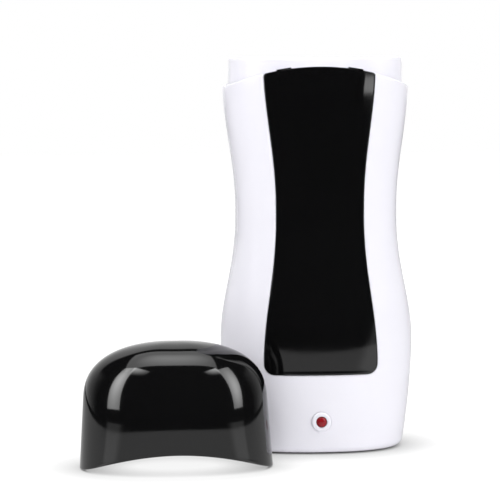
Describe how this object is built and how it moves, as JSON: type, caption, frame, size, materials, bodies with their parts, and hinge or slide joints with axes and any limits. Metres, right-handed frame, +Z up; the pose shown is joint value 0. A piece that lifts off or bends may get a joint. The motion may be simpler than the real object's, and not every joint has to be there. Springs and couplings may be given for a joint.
{
  "type": "wax warmer",
  "caption": "Hand-held roll-on wax warmer with a waisted oval casing, a gloss front panel, an indicator lamp and a lift-off domed cap.",
  "frame": {"origin": "centre of the warmer's base, on the surface that it stands on", "axes": "+Z up through the neck; -Y towards the front, with the panel and the indicator; +X to the right seen from the front"},
  "size_m": [0.1347, 0.0986, 0.158],
  "materials": {
    "white_casing": "smooth, low gloss",
    "white_plastic": "fine grain",
    "black_gloss": "high gloss",
    "red_lens": "clear red, polished",
    "lamp_glass": "clear",
    "dark_plastic": "matte",
    "sleeve_aluminium": "satin",
    "silicone": "matte",
    "heater_case": "plain",
    "mica": "matte",
    "spring_steel": "plain",
    "screw_steel": "plain",
    "fuse_brass": "plain",
    "pin_metal": "polished",
    "rubber_pad": "matte",
    "wire_brown": "smooth",
    "wire_white": "smooth",
    "wire_blue": "smooth",
    "wire_grey": "smooth"
  },
  "bodies": {
    "warmer": {"front_shell": "white_casing", "rear_shell": "white_casing", "front_panel": "black_gloss", "neck_collar": "white_casing", "indicator_bezel": "white_casing", "indicator_lens": "red_lens", "neon_lamp": "lamp_glass", "lamp_resistor": "dark_plastic", "heating_sleeve": "sleeve_aluminium", "sleeve_seal": "silicone", "ptc_heater": "heater_case", "insulation_sheet": "mica", "heater_clamp": "spring_steel", "clamp_screws": "screw_steel", "thermostat": "spring_steel", "thermostat_clip": "spring_steel", "thermal_fuse": "fuse_brass", "fuse_clip": "spring_steel", "ac_inlet": "dark_plastic", "inlet_pins": "pin_metal", "base_cover": "white_plastic", "base_screws": "screw_steel", "base_pad": "rubber_pad", "shell_screws": "screw_steel", "live_wire": "wire_brown", "link_wire": "wire_white", "fuse_wire": "wire_white", "neutral_wire": "wire_blue", "lamp_wires": "wire_grey"},
    "cap": {"cap": "black_gloss"}
  },
  "joints": [
    {"name": "cap_lift", "type": "slide", "parent": "warmer", "child": "cap", "axis": [0, 0, 1], "range_m": [0, 0.17]}
  ]
}
